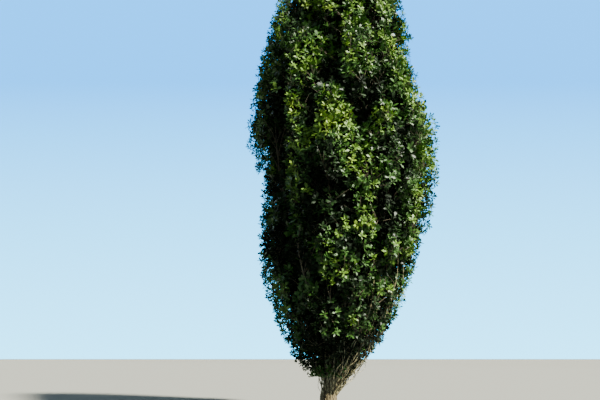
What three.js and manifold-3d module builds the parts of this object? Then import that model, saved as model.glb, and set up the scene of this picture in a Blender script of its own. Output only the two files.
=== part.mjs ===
// A columnar oak: a flared trunk that runs on as a thin leader, steep boughs, and upright masses of foliage.
// Millimetres, +Z up. The origin is the middle of the flat cut under the trunk; +X is the side the crown leans to.
// Azimuths run from +X towards +Y. The masses stand in tiers, and each bough carries one mass.
import * as THREE from "three";
import { mergeVertices } from "three/addons/utils/BufferGeometryUtils.js";
import Module from "manifold-3d";

const wasm = await Module();
wasm.setup();

// The crown's outline
const TREE_HEIGHT = 14400;
const CROWN_FOOT = 500;
const LEAVES_FROM = 950;
const WIDEST_HEIGHT = 7000;
const HALF_SPREAD = 2570;
const LOWER_SWELL = { power: 2, round: 0.77 };
const UPPER_SWELL = { power: 1.6, round: 0.68 };
const FOOT_SHIFT = 130; // how far the crown's lowest leaves stand towards +X
const SHIFT_FROM = 900; // between these heights a tier's middle moves from that to the tier's own shift
const SHIFT_TO = 6500;

// The trunk and its leader
const FORK_HEIGHT = 570;
const STUMP_RADIUS = 196;
const FLARE_RADIUS = 96; // added at the ground
const FLARE_HEIGHT = 150;
const FLARE_LOBES = 5;
const LOBE_DEPTH = 0.16;
const LEADER_RADIUS = 118;
const LEADER_TIP_RADIUS = 26;
const LEADER_TOP = 11900;
const LEADER_FALL = 0.8;
const LEADER_LEAN = 380;
const NECK = 170; // height over which the stump narrows to the leader
const SWAY = 45; // how far the leader winds to either side
const SWAY_LENGTH = 3900;
const TRUNK_SIDES = 15;
const TRUNK_HEIGHTS = [0, 60, 140, 260, 420, 560, 660, 780, 1000, 1700, 2700, 4200, 6000, 8000, 10000, 11900];

// Limbs
const GAP = 0.3; // between pieces that touch on the real tree
const CUT_GROWTH = 0.45; // added to the radius of a limb where its neighbours are cut clear of it
const LEAST_CUT = 1; // cubic millimetres
const BOUGH_STEPS = 6;
const STRAIGHT = 140; // length of a bough's straight end, and of the straight start of its mass's stem
const STEM_STEPS = 5;
const SLOPE_SPAN = 500; // half the height over which the outline's slope beside a stem is taken
const FOOT_INSET = 60; // how far the foot of a mass's stem stays inside its space
const STEM_RISE = 0.6; // share of the way from the mass's centre to its top at which the stem ends
const STEM_SIDES = 3;
const STEM_BOW = 80; // how far a stem bows outward
const STEM_TIP_RADIUS = 14;
const FOOT_INWARD = 0.2; // how much more a stem's foot draws in towards the trunk than the outline does
const BOUGH_TAPER = 0.6;
const BOUGH_OUT = 0.36; // a bough's first bend: its share of the way out, and of the way up
const BOUGH_RISE = 0.3;
const LEAVE_JITTER = 0.15; // of the heights at which boughs leave the trunk, as a share of their stagger
const LIMB_MARGIN = 14; // between a leaf or twig and another mass's bough

// The space of a mass: the points nearest to its centre, with heights counted less than widths
const HEIGHT_WEIGHT = 0.42;
const WALL_MARGIN = 14; // half the room between two neighbouring spaces
const BARE_CORE = 0.24; // share of the crown's half width, round the trunk, that holds only limbs
const CREASE = 0.1; // how far the outline draws in between two masses of a tier
const REACHES = [0.97, 1.06]; // shares of the outline that the masses reach
const AZIMUTH_JITTER = 0.1; // share of a mass's sector
const MARCH = 25; // step by which a reach is felt out

// The core that fills the middle of a mass
const CORE_INSET = 210; // how far the core stays inside the mass's space
const CORE_OUTER_INSET = 90; // and how much further on the side away from the trunk
const CORE_LUMPS = 0.05; // how much the reach of its corners varies
const CORE_MOST_INSET = 0.36; // but never more than this share of the way to the edge
const CORE_LIMB_ROOM = 100; // between a core and any limb
const CORE_SIDES = 7;
const CORE_BANDS = 4;

// The twigs, and the sprays that stand for leaves: an eight-faced blade each, three to a twig
const TWIGS = 10;
const TWIGS_FROM = 0.3; // share of the stem that is bare
const TWIG_RISE = 0.15; // share of the stem by which a twig rises
const TWIG_SIDES = 3;
const TWIG_TAPER = 0.4;
const TWIG_RADIUS = 18;
const TWIG_SINK = 30; // how far under the core's face a twig ends
const INWARD = -0.3; // a twig ends where the core's face looks outward by more than this
const LEAF_LENGTH = 900;
const LEAF_LENGTHS = [0.85, 1.1]; // shares of that length
const LEAF_WIDTH = 0.56; // share of a leaf's own length
const LEAF_THICKNESS = 16;
const LEAF_WIDEST = 0.58; // share of its length at which a leaf is widest
const LEAF_SINK = 55; // how far a leaf's root goes under the core's face
const LEAF_SIZES = [1, 0.88, 0.76, 0.64, 0.52]; // tried in turn, until one fits
const LEAF_LIFT = [0.42, 0.62]; // how steeply a spray stands off the core
const SPLAYS = [0, 0.9, -0.9]; // how far the three turn from upright
const SPLAY_JITTER = 0.15;
const SPLAY_APART = 60;

// The tiers, from the lowest, with each mass on its bough. turn: where the first mass stands, in shares of the angle
// between two; middle: the height of the masses' centres, give or take rough; depth: how far these lie inside the
// outline; shift: how far the tier's middle stands towards +X. The boughs leave the trunk round the height leave,
// spread over stagger, with the radius root.
const SKIRT = {
  name: "skirt", count: 7, turn: 0.48, middle: 2840, rough: 250, depth: 560, shift: 470, seed: 16,
  leave: 420, stagger: 120, root: 58, sides: 7,
};
const WAIST = {
  name: "waist", count: 7, turn: 0.83, middle: 6130, rough: 350, depth: 720, shift: 550, seed: 40,
  leave: 960, stagger: 420, root: 52, sides: 7,
};
const SHOULDER = {
  name: "shoulder", count: 7, turn: 0.4, middle: 9330, rough: 350, depth: 680, shift: 310, seed: 61,
  leave: 2900, stagger: 900, root: 42, sides: 6,
};
const CREST = {
  name: "crest", count: 5, turn: 0.08, middle: 11660, rough: 200, depth: 500, shift: 560, seed: 66,
  leave: 6000, stagger: 900, root: 34, sides: 6,
};
const SPIRE = { name: "spire", middle: 13450, top: 14100, shift: 420, seed: 43 };
const TIERS = [SKIRT, WAIST, SHOULDER, CREST];

const BARK = new THREE.MeshStandardMaterial({ color: 0x6f6552, roughness: 0.92, metalness: 0 });
const FOLIAGE = new THREE.MeshStandardMaterial({ color: 0x35502a, roughness: 0.5, metalness: 0 });

// Numbers from 0 to 1 that are the same on every run
class Dice {
  constructor(seed) {
    this.state = (seed * 16807 + 1013904) % 2147483647;
    this.roll();
  }
  roll() {
    this.state = (this.state * 48271) % 2147483647;
    return this.state / 2147483647;
  }
  between(low, high) {
    return low + (high - low) * this.roll();
  }
}

const { lerp, smoothstep } = THREE.MathUtils;

// How far the crown's outline stands from its middle at a height
function crownHalfWidth(z) {
  const lower = z < WIDEST_HEIGHT;
  const span = lower ? WIDEST_HEIGHT - CROWN_FOOT : TREE_HEIGHT - WIDEST_HEIGHT;
  const share = Math.min(Math.abs(z - WIDEST_HEIGHT) / span, 1);
  const { power, round } = lower ? LOWER_SWELL : UPPER_SWELL;
  return HALF_SPREAD * (1 - share ** power) ** round;
}

// The middle of a tier's share of the crown at a height
function tierCentre(tier, z) {
  return new THREE.Vector3(lerp(FOOT_SHIFT, tier.shift, smoothstep(z, SHIFT_FROM, SHIFT_TO)), 0, z);
}

function trunkCentre(z) {
  const rise = smoothstep(z, FORK_HEIGHT, SHIFT_TO);
  return new THREE.Vector3(LEADER_LEAN * rise, SWAY * rise * Math.sin((z / SWAY_LENGTH) * Math.PI), z);
}

function trunkRadius(z) {
  const stump = STUMP_RADIUS + FLARE_RADIUS * Math.exp(-z / FLARE_HEIGHT);
  const share = Math.max(0, (z - FORK_HEIGHT) / (LEADER_TOP - FORK_HEIGHT));
  const leader = lerp(LEADER_RADIUS, LEADER_TIP_RADIUS, share ** LEADER_FALL);
  return lerp(stump, leader, smoothstep(z, FORK_HEIGHT, FORK_HEIGHT + NECK));
}

// The level direction that an azimuth points in
function outward(azimuth) {
  return new THREE.Vector3(Math.cos(azimuth), Math.sin(azimuth), 0);
}

// The closed solid that a geometry bounds
function solidOf(geometry) {
  const bare = geometry.clone();
  bare.deleteAttribute("normal");
  bare.deleteAttribute("uv");
  const merged = mergeVertices(bare, 1e-3);
  return new wasm.Manifold(
    new wasm.Mesh({
      numProp: 3,
      vertProperties: new Float32Array(merged.attributes.position.array),
      triVerts: new Uint32Array(merged.index.array),
    }),
  );
}

// The geometry of a solid's surface
function geometryOf(solid) {
  const mesh = solid.getMesh();
  const geometry = new THREE.BufferGeometry();
  geometry.setAttribute("position", new THREE.BufferAttribute(new Float32Array(mesh.vertProperties), 3));
  geometry.setIndex(new THREE.BufferAttribute(new Uint32Array(mesh.triVerts), 1));
  return geometry;
}

// The largest body of a solid: loose scraps go, and so do the shells of hollows that fusing has sealed
function largestBody(solid) {
  const bodies = solid.decompose();
  return bodies.reduce((best, body) => (body.volume() > best.volume() ? body : best));
}

// A solid cut clear of the limbs, where it reaches into them
function cutClear(solid) {
  return largestBody(solid.intersect(limbRoom).volume() > LEAST_CUT ? solid.subtract(limbRoom) : solid);
}

// The turns that bring a cylinder's rings across a path, or level where level is set, without twisting it
function ringTurns(path, level) {
  const along = new THREE.Vector3(0, 1, 0);
  const turn = new THREE.Quaternion();
  return path.map((_, i) => {
    const heading = new THREE.Vector3(0, 0, 1);
    if (!level) heading.copy(path[Math.min(i + 1, path.length - 1)]).sub(path[Math.max(i - 1, 0)]).normalize();
    turn.premultiply(new THREE.Quaternion().setFromUnitVectors(along, heading));
    along.copy(heading);
    return turn.clone();
  });
}

// A tapering tube: the rings of a cylinder are moved onto the path. radiusAt takes the ring and the angle round it.
function sweep(path, radiusAt, sides, level = false) {
  const last = path.length - 1;
  const shape = new THREE.CylinderGeometry(1, 1, 1, sides, last);
  const turns = ringTurns(path, level);
  const spots = shape.attributes.position;
  const spot = new THREE.Vector3();
  for (let i = 0; i < spots.count; i++) {
    spot.fromBufferAttribute(spots, i);
    const ring = Math.round((spot.y + 0.5) * last);
    spot.y = 0;
    spot.multiplyScalar(radiusAt(ring, Math.atan2(spot.z, spot.x)));
    spot.applyQuaternion(turns[ring]).add(path[ring]);
    spots.setXYZ(i, spot.x, spot.y, spot.z);
  }
  return solidOf(shape);
}

// The trunk with its leader and the lobes of its flare
function trunkSolid(growth = 0) {
  const radiusAt = (ring, angle) => {
    const z = TRUNK_HEIGHTS[ring];
    const lobes = 1 + LOBE_DEPTH * Math.exp(-z / FLARE_HEIGHT) * Math.cos(FLARE_LOBES * angle);
    return trunkRadius(z) * lobes + growth;
  };
  return sweep(TRUNK_HEIGHTS.map(trunkCentre), radiusAt, TRUNK_SIDES, true);
}

// The mass of one place in a tier
function planMass(tier, index) {
  const dice = new Dice(tier.seed * 100 + index);
  const sector = (2 * Math.PI) / tier.count;
  const azimuth = sector * (index + tier.turn + dice.between(-AZIMUTH_JITTER, AZIMUTH_JITTER));
  const reach = dice.between(...REACHES);
  const z = tier.middle + dice.between(-1, 1) * tier.rough;
  const out = crownHalfWidth(z) * reach - tier.depth;
  const centre = tierCentre(tier, z).addScaledVector(outward(azimuth), out);
  return { name: `${tier.name}_${index + 1}`, tier, index, azimuth, sector, reach, centre, dice };
}

// The mass on top of the leader
function planSpire() {
  const centre = trunkCentre(LEADER_TOP).setZ(SPIRE.middle);
  const dice = new Dice(SPIRE.seed * 100);
  return { name: SPIRE.name, tier: SPIRE, azimuth: 0, sector: Infinity, reach: 1, centre, dice };
}

// The wall between two masses' spaces, facing the second one
function wallBetween(mass, other) {
  const normal = other.centre.clone().sub(mass.centre);
  normal.z *= HEIGHT_WEIGHT ** 2;
  const middle = mass.centre.clone().lerp(other.centre, 0.5);
  return new THREE.Plane().setFromNormalAndCoplanarPoint(normal.normalize(), middle);
}

// The stem of a mass: it starts low on the trunk's side and goes past the centre to near the top of the space
function planStem(mass) {
  const { centre, azimuth } = mass;
  if (mass.tier === SPIRE) {
    const ends = [LEADER_TOP, SPIRE.top].map((z) => centre.clone().setZ(z));
    return new THREE.LineCurve3(...ends).getPoints(STEM_STEPS);
  }
  const [below, above] = [-SLOPE_SPAN, SLOPE_SPAN].map((far) => crownHalfWidth(centre.z + far));
  const slope = (above - below) / (2 * SLOPE_SPAN);
  const up = outward(azimuth).multiplyScalar(slope).setZ(1).normalize();
  const down = outward(azimuth).multiplyScalar(-slope - FOOT_INWARD).setZ(-1).normalize();
  const foot = centre.clone().addScaledVector(down, reachFrom(mass, centre, down) - FOOT_INSET);
  const top = centre.clone().addScaledVector(up, reachFrom(mass, centre, up) * STEM_RISE);
  const bow = centre.clone().addScaledVector(outward(azimuth), STEM_BOW);
  return new THREE.QuadraticBezierCurve3(foot, bow, top).getPoints(STEM_STEPS);
}

// The point at a share of a stem's length
function stemPoint(mass, share) {
  const place = THREE.MathUtils.clamp(share, 0, 1) * STEM_STEPS;
  const step = Math.min(Math.floor(place), STEM_STEPS - 1);
  return mass.stem[step].clone().lerp(mass.stem[step + 1], place - step);
}

// The direction in which a mass's stem starts
function stemStart(mass) {
  return mass.stem[1].clone().sub(mass.stem[0]).normalize();
}

function distanceToPath(point, path) {
  const line = new THREE.Line3();
  const near = new THREE.Vector3();
  let least = Infinity;
  for (let i = 0; i + 1 < path.length; i++) {
    line.set(path[i], path[i + 1]).closestPointToPoint(point, true, near);
    least = Math.min(least, near.distanceTo(point));
  }
  return least;
}

// The bough of a mass, from the trunk's middle to the foot of the mass's stem
function planBough(mass) {
  const { tier, stem } = mass;
  const foot = stem[0];
  const heading = stemStart(mass);
  const level = (mass.index % 2) - 0.5 + mass.dice.between(-LEAVE_JITTER, LEAVE_JITTER);
  const leave = tier.leave + tier.stagger * level;
  const start = trunkCentre(leave);
  const neck = foot.clone().addScaledVector(heading, -STRAIGHT);
  const out = outward(mass.azimuth).multiplyScalar(foot.distanceTo(trunkCentre(foot.z)));
  const rise = neck.z - leave;
  const first = start.clone().addScaledVector(out, BOUGH_OUT).setZ(leave + rise * BOUGH_RISE);
  const second = neck.clone().addScaledVector(heading, -rise * BOUGH_RISE);
  const line = new THREE.CubicBezierCurve3(start, first, second, neck).getPoints(BOUGH_STEPS - 1);
  const tipRadius = tier.root * BOUGH_TAPER;
  return {
    name: `${mass.name}_bough`,
    path: [...line, foot],
    roomPath: [...line, foot.clone().addScaledVector(heading, GAP)],
    radius: (ring) => lerp(tier.root, tipRadius, ring / BOUGH_STEPS),
    tipRadius,
    widest: tier.root,
    sides: tier.sides,
  };
}

// Whether a point lies in the space that a mass keeps to
function owns(mass, point) {
  if (point.z < LEAVES_FROM || point.z > TREE_HEIGHT) return false;
  const halfWidth = crownHalfWidth(point.z);
  const across = point.clone().sub(tierCentre(mass.tier, point.z));
  const swing = Math.atan2(across.y, across.x) - mass.azimuth;
  const crease = 1 - (CREASE / 2) * (1 - Math.cos((swing * 2 * Math.PI) / mass.sector));
  if (across.length() > halfWidth * mass.reach * crease) return false;
  if (mass.tier !== SPIRE && point.distanceTo(trunkCentre(point.z)) < halfWidth * BARE_CORE) return false;
  return mass.walls.every((wall) => wall.distanceToPoint(point) < -WALL_MARGIN);
}

// Whether a point lies a margin clear of the trunk and the boughs, but for the mass's own bough
function clearOfLimbs(point, ownBough, margin = LIMB_MARGIN) {
  return limbs.every((limb) => limb === ownBough || distanceToPath(point, limb.path) > limb.widest + margin);
}

// How far a mass's space goes from a point in it
function reachFrom(mass, start, heading) {
  const spot = start.clone();
  let far = 0;
  while (owns(mass, spot.addScaledVector(heading, MARCH))) far += MARCH;
  return far;
}

// How far the core goes from a point in it
function coreReach(mass, start, heading) {
  const inset = CORE_INSET + CORE_OUTER_INSET * Math.max(heading.dot(outward(mass.azimuth)), 0);
  const spot = start.clone();
  let far = 0;
  const free = () => owns(mass, spot) && clearOfLimbs(spot, undefined, CORE_LIMB_ROOM);
  while (spot.addScaledVector(heading, MARCH) && free()) far += MARCH;
  return far - Math.min(inset, far * CORE_MOST_INSET);
}

// The dense middle of a mass: a ball whose corners move out through the mass's space, and the middles of its faces
function coreOf(mass) {
  const ball = new THREE.SphereGeometry(1, CORE_SIDES, CORE_BANDS).rotateX(Math.PI / 2).toNonIndexed();
  const spots = ball.attributes.position;
  const corners = new Map();
  for (let i = 0; i < spots.count; i++) {
    const spot = new THREE.Vector3().fromBufferAttribute(spots, i);
    const key = spot.toArray().map((value) => Math.round(value * 1e4)).join();
    if (!corners.has(key)) {
      const heading = spot.clone().divide(new THREE.Vector3(1, 1, HEIGHT_WEIGHT)).normalize();
      const radius = coreReach(mass, mass.centre, heading) * (1 - CORE_LUMPS * mass.dice.roll());
      corners.set(key, mass.centre.clone().addScaledVector(heading, radius));
    }
    spots.setXYZ(i, ...corners.get(key).toArray());
  }
  const faces = [];
  for (let i = 0; i < spots.count; i += 3) {
    const face = new THREE.Triangle().setFromAttributeAndIndices(spots, i, i + 1, i + 2);
    faces.push({ middle: face.getMidpoint(new THREE.Vector3()), normal: face.getNormal(new THREE.Vector3()) });
  }
  return { solid: cutClear(solidOf(ball)), faces };
}

// Faces spread evenly over the side of the core that looks away from the trunk
function twigFaces(mass, faces) {
  const out = outward(mass.azimuth);
  const free = faces.filter((face) => mass.tier === SPIRE || face.normal.dot(out) > INWARD);
  const chosen = [free[Math.floor(mass.dice.roll() * free.length)]];
  const spacing = (face) => Math.min(...chosen.map((other) => other.middle.distanceTo(face.middle)));
  while (chosen.length < TWIGS) {
    chosen.push(free.reduce((best, face) => (spacing(face) > spacing(best) ? face : best)));
  }
  return chosen;
}

// A leaf-shaped spray from its root: heading is its length, facing the side that its blade shows
function leafBlade(root, heading, facing, length) {
  const blade = new THREE.OctahedronGeometry(1);
  const side = heading.clone().cross(facing).normalize();
  const lift = side.clone().cross(heading);
  const spots = blade.attributes.position;
  for (let i = 0; i < spots.count; i++) {
    const spot = new THREE.Vector3().fromBufferAttribute(spots, i);
    const along = spot.y === 0 ? LEAF_WIDEST : (spot.y + 1) / 2;
    const corner = root.clone().addScaledVector(heading, along * length);
    corner.addScaledVector(side, (spot.x * LEAF_WIDTH * length) / 2);
    corner.addScaledVector(lift, (spot.z * LEAF_THICKNESS) / 2);
    spots.setXYZ(i, ...corner.toArray());
  }
  return blade;
}

// The corners of a mesh, as points
function cornersOf(geometry) {
  const spots = geometry.attributes.position;
  return Array.from({ length: spots.count }, (_, i) => new THREE.Vector3().fromBufferAttribute(spots, i));
}

// The leaf-shaped spray that grows from a place on the core, in the largest size that fits
function leafOn(mass, place, normal, splay, fits) {
  const up = new THREE.Vector3(0, 0, 1).addScaledVector(normal, -normal.z).normalize();
  const across = up.clone().cross(normal);
  const along = up.clone().multiplyScalar(Math.cos(splay)).addScaledVector(across, Math.sin(splay));
  const lift = mass.dice.between(...LEAF_LIFT);
  const heading = along.clone().multiplyScalar(Math.cos(lift)).addScaledVector(normal, Math.sin(lift));
  const root = place.clone().addScaledVector(across, Math.sin(splay) * SPLAY_APART);
  root.addScaledVector(normal, -LEAF_SINK);
  const length = LEAF_LENGTH * mass.dice.between(...LEAF_LENGTHS);
  for (const size of LEAF_SIZES) {
    const blade = leafBlade(root, heading, normal, length * size);
    if (!cornersOf(blade).every((corner) => corner.distanceTo(root) < 1 || fits(corner))) continue;
    const solid = solidOf(blade);
    if (solid.intersect(limbRoom).isEmpty()) return [solid];
  }
  return [];
}

// The stem of a mass as a solid, from just clear of the tip of its bough
function stemSolid(mass, bough) {
  const start = stemStart(mass);
  const foot = [GAP, STRAIGHT].map((far) => mass.stem[0].clone().addScaledVector(start, far));
  const path = [...foot, ...mass.stem.slice(1)];
  const footRadius = bough ? bough.tipRadius : LEADER_TIP_RADIUS;
  return sweep(path, (ring) => lerp(footRadius, STEM_TIP_RADIUS, ring / (path.length - 1)), STEM_SIDES);
}

// A twig from the stem of a mass to just under a face of its core
function twigSolid(mass, face) {
  const [foot, top] = [mass.stem[0], mass.stem.at(-1)];
  const share = (face.middle.z - foot.z) / (top.z - foot.z);
  const root = stemPoint(mass, Math.max(share - TWIG_RISE, TWIGS_FROM));
  const end = face.middle.clone().addScaledVector(face.normal, -TWIG_SINK);
  return sweep([root, end], (ring) => TWIG_RADIUS * (1 - ring * TWIG_TAPER), TWIG_SIDES);
}

// A mass: one stem, a core, and twigs that leave the stem for the core's faces with leaf-shaped sprays on them
function massSolid(mass, bough) {
  const core = coreOf(mass);
  const parts = [stemSolid(mass, bough), core.solid];
  const fits = (point) => owns(mass, point) && clearOfLimbs(point, bough);
  for (const face of twigFaces(mass, core.faces)) {
    const twig = twigSolid(mass, face);
    if (!twig.intersect(limbRoom).isEmpty()) continue;
    const splays = SPLAYS.map((splay) => splay + mass.dice.between(-SPLAY_JITTER, SPLAY_JITTER));
    parts.push(twig, ...splays.flatMap((splay) => leafOn(mass, face.middle, face.normal, splay, fits)));
  }
  return cutClear(wasm.Manifold.union(parts));
}

const masses = TIERS.flatMap((tier) => Array.from({ length: tier.count }, (_, i) => planMass(tier, i)));
masses.push(planSpire());
for (const mass of masses) {
  mass.walls = masses.filter((other) => other !== mass).map((other) => wallBetween(mass, other));
}
for (const mass of masses) mass.stem = planStem(mass);
const boughs = masses.filter((mass) => mass.tier !== SPIRE).map(planBough);
const limbs = [...boughs, { path: TRUNK_HEIGHTS.map(trunkCentre), widest: LEADER_RADIUS }];

const trunkRoom = trunkSolid(CUT_GROWTH);
const boughRooms = boughs.map((bough) => {
  return sweep(bough.roomPath, (ring) => bough.radius(ring) + CUT_GROWTH, bough.sides);
});
const limbRoom = wasm.Manifold.union([trunkRoom, ...boughRooms]);

const oak = new THREE.Group();

// Adds a solid to the tree as a named mesh
function addPiece(name, solid, material) {
  const mesh = new THREE.Mesh(geometryOf(solid), material);
  mesh.name = name;
  oak.add(mesh);
}

addPiece("trunk", trunkSolid(), BARK);
let taken = trunkRoom;
boughs.forEach((bough, i) => {
  addPiece(bough.name, largestBody(sweep(bough.path, bough.radius, bough.sides).subtract(taken)), BARK);
  taken = taken.add(boughRooms[i]);
});
masses.forEach((mass, i) => addPiece(`${mass.name}_mass`, massSolid(mass, boughs[i]), FOLIAGE));

export default oak;
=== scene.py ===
"""A columnar oak in summer leaf: furrowed trunk and boughs, and the twigs and leaves that grow from them.

The crown is planned by the rule that its solids follow. Masses of foliage stand in tiers, each keeps to a
space of its own, and one stem goes on into it from its bough. Here the stem branches on into twigs with
sprays of leaves. Metres, +Z up. The origin is the middle of the flat cut under the trunk, +X is to the right
in the photo and +Y points away from the viewer.
"""

import logging
import math
from collections.abc import Callable
from dataclasses import dataclass, field
from enum import Enum

import bpy
import numpy as np
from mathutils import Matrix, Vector

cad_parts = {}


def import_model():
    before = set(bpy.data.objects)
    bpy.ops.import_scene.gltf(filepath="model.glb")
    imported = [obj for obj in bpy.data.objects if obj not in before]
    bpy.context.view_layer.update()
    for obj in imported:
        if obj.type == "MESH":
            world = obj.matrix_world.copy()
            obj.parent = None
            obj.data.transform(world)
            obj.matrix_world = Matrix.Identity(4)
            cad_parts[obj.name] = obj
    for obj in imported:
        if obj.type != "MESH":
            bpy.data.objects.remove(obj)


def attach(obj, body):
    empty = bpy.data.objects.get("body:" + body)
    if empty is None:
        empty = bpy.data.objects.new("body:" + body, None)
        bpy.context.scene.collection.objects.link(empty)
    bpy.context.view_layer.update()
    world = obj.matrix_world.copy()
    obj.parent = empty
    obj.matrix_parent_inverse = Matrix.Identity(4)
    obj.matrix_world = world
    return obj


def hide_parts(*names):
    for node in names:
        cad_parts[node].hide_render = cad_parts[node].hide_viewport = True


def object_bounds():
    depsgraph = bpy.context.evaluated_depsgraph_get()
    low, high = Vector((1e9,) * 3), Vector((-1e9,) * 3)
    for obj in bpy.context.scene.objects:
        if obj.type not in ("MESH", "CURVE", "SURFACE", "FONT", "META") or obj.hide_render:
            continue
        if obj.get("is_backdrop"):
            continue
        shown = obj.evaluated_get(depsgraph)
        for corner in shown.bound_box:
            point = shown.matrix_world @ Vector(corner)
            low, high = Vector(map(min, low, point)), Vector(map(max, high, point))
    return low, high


LOG = logging.getLogger("oak")
BODY = "root"
Array = np.ndarray
Swelling = Callable[[Array, Array], Array]

GOLDEN_ANGLE = math.radians(137.5)
UP = np.array([0.0, 0.0, 1.0])
LEAST_LENGTH = 1e-9
NEXT_CELLS = np.array(list(np.ndindex(3, 3, 3))) - 1  # from a cell to itself and to all that touch it
ASIDE = np.array([0.31, 0.95, 0.0])  # sets where the turn round a shoot starts
NEARLY_ALONG = 0.8  # a tube that starts nearer to X than this has its sides set out from Y
NOISE_MIDDLE = 0.5
SEEDS_A_TIER = 100


class Slot(Enum):
    """The kinds of material slot."""

    BARK = "bark"
    FOLIAGE = "foliage"


class Tone(Enum):
    """The greens that are dealt out to the sprays: the darkest two are partly painted shade, the paler ones
    partly painted sunlight.
    """

    PAINTED_DEEP_SHADE = 0
    SHADE = 1
    LEAF = 2
    FRESH_AND_PAINTED_SUN = 3
    YOUNG = 4


class Dice:
    """Numbers from 0 to 1 that are the same on every run."""

    MODULUS = 2147483647
    FACTOR = 48271
    SEED_FACTOR = 16807
    SEED_SHIFT = 1013904

    def __init__(self, seed: int) -> None:
        """Sets the first state.

        Args:
            seed: Any whole number.
        """
        self.state = (seed * self.SEED_FACTOR + self.SEED_SHIFT) % self.MODULUS
        self.roll()

    def roll(self) -> float:
        """Returns the next number from 0 to 1."""
        self.state = (self.state * self.FACTOR) % self.MODULUS
        return self.state / self.MODULUS

    def between(self, low: float, high: float) -> float:
        """Returns the next number between two limits."""
        return low + (high - low) * self.roll()


def lerp(low: Array | float, high: Array | float, share: Array | float) -> Array | float:
    """Returns the value at a share of the way from low to high."""
    return low + (high - low) * share


def ease(share: Array) -> Array:
    """Returns a share from 0 to 1 with its start and end made gentle."""
    return share * share * (3.0 - 2.0 * share)


def smoothstep(value: Array | float, low: float, high: float) -> Array:
    """Returns 0 below low and 1 above high, with a smooth rise between them."""
    return ease(np.clip((np.asarray(value, float) - low) / (high - low), 0.0, 1.0))


def unit(vectors: Array) -> Array:
    """Returns vectors of length 1 along the given ones."""
    return vectors / np.maximum(np.linalg.norm(vectors, axis=-1, keepdims=True), LEAST_LENGTH)


def outward(azimuth: float) -> Array:
    """Returns the level direction that an azimuth points in."""
    return np.array([math.cos(azimuth), math.sin(azimuth), 0.0])


def bezier(corners: list[Array], steps: int) -> Array:
    """Samples a Bezier curve.

    Args:
        corners: Three or four points, or arrays of points with one curve each.
        steps: The number of equal steps.

    Returns:
        The points on the curve, from its first corner to its last. They stand on the axis before the last.
    """
    share = np.linspace(0.0, 1.0, steps + 1)[:, None]
    layers = [corner[..., None, :] for corner in corners]
    while len(layers) > 1:
        layers = [lerp(first, second, share) for first, second in zip(layers, layers[1:])]
    return layers[0]


class Noise:
    """Smooth random values on a lattice that repeats."""

    def __init__(self, seed: int, size: int = 32, axes: int = 3) -> None:
        """Fills the lattice.

        Args:
            seed: The seed of its values.
            size: The number of cells after which it repeats.
            axes: The number of coordinates that a place has.
        """
        self.size = size
        self.axes = axes
        self.values = np.random.default_rng(seed).random((size,) * axes)

    def at(self, places: Array) -> Array:
        """Looks the noise up.

        Args:
            places: The places, one lattice cell being 1 unit wide.

        Returns:
            The value from 0 to 1 at each place.
        """
        base = np.floor(places).astype(int)
        share = ease(places - base)
        total = np.zeros(len(places))
        for corner in np.ndindex(*(2,) * self.axes):
            weight = np.prod(np.where(corner, share, 1.0 - share), axis=1)
            total += weight * self.values[tuple(((base + corner) % self.size).T)]
        return total


@dataclass(frozen=True)
class Swell:
    """How one half of the crown's outline narrows away from its widest height."""

    power: float
    round: float


@dataclass(frozen=True)
class Outline:
    """The crown's outline and the lean of its tiers."""

    tree_height: float = 14.4
    crown_foot: float = 0.5
    leaves_from: float = 0.95
    widest_height: float = 7.0
    half_spread: float = 2.57
    lower: Swell = Swell(2.0, 0.77)
    upper: Swell = Swell(1.6, 0.68)
    foot_shift: float = 0.13
    shift_from: float = 0.9
    shift_to: float = 6.5

    def half_width(self, z: Array | float) -> Array:
        """Works out how far the outline stands from its middle.

        Args:
            z: The heights.

        Returns:
            The half width at each height.
        """
        height = np.asarray(z, float)
        below = height < self.widest_height
        span = np.where(below, self.widest_height - self.crown_foot, self.tree_height - self.widest_height)
        share = np.minimum(np.abs(height - self.widest_height) / span, 1.0)
        power = np.where(below, self.lower.power, self.upper.power)
        rounding = np.where(below, self.lower.round, self.upper.round)
        return self.half_spread * (1.0 - share**power) ** rounding

    def middle(self, shift: float, z: Array | float) -> Array:
        """Finds the middle of a tier's share of the crown.

        Args:
            shift: How far the tier leans along X.
            z: The heights.

        Returns:
            The point in the middle at each height.
        """
        height = np.asarray(z, float)
        across = lerp(self.foot_shift, shift, smoothstep(height, self.shift_from, self.shift_to))
        return np.stack([across, np.zeros_like(height), height], axis=-1)


@dataclass(frozen=True)
class TrunkShape:
    """The line and the thickness of the trunk and of the leader that it runs on as."""

    fork_height: float = 0.57
    stump_radius: float = 0.196
    flare_radius: float = 0.096
    flare_height: float = 0.15
    flare_lobes: int = 5
    lobe_depth: float = 0.16
    leader_radius: float = 0.118
    leader_tip_radius: float = 0.026
    leader_top: float = 11.9
    leader_fall: float = 0.8
    leader_lean: float = 0.38
    neck: float = 0.17
    sway: float = 0.045
    sway_length: float = 3.9
    lean_to: float = 6.5

    def centre(self, z: Array | float) -> Array:
        """Finds the trunk's line.

        Args:
            z: The heights.

        Returns:
            The point on the line at each height.
        """
        height = np.asarray(z, float)
        rise = smoothstep(height, self.fork_height, self.lean_to)
        wind = self.sway * rise * np.sin(height / self.sway_length * math.pi)
        return np.stack([self.leader_lean * rise, wind, height], axis=-1)

    def radius(self, z: Array | float) -> Array:
        """Works out the trunk's radius, without its lobes.

        Args:
            z: The heights.

        Returns:
            The radius at each height.
        """
        height = np.asarray(z, float)
        stump = self.stump_radius + self.flare_radius * np.exp(-height / self.flare_height)
        share = np.clip((height - self.fork_height) / (self.leader_top - self.fork_height), 0.0, 1.0)
        leader = lerp(self.leader_radius, self.leader_tip_radius, share**self.leader_fall)
        return lerp(stump, leader, smoothstep(height, self.fork_height, self.fork_height + self.neck))


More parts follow.
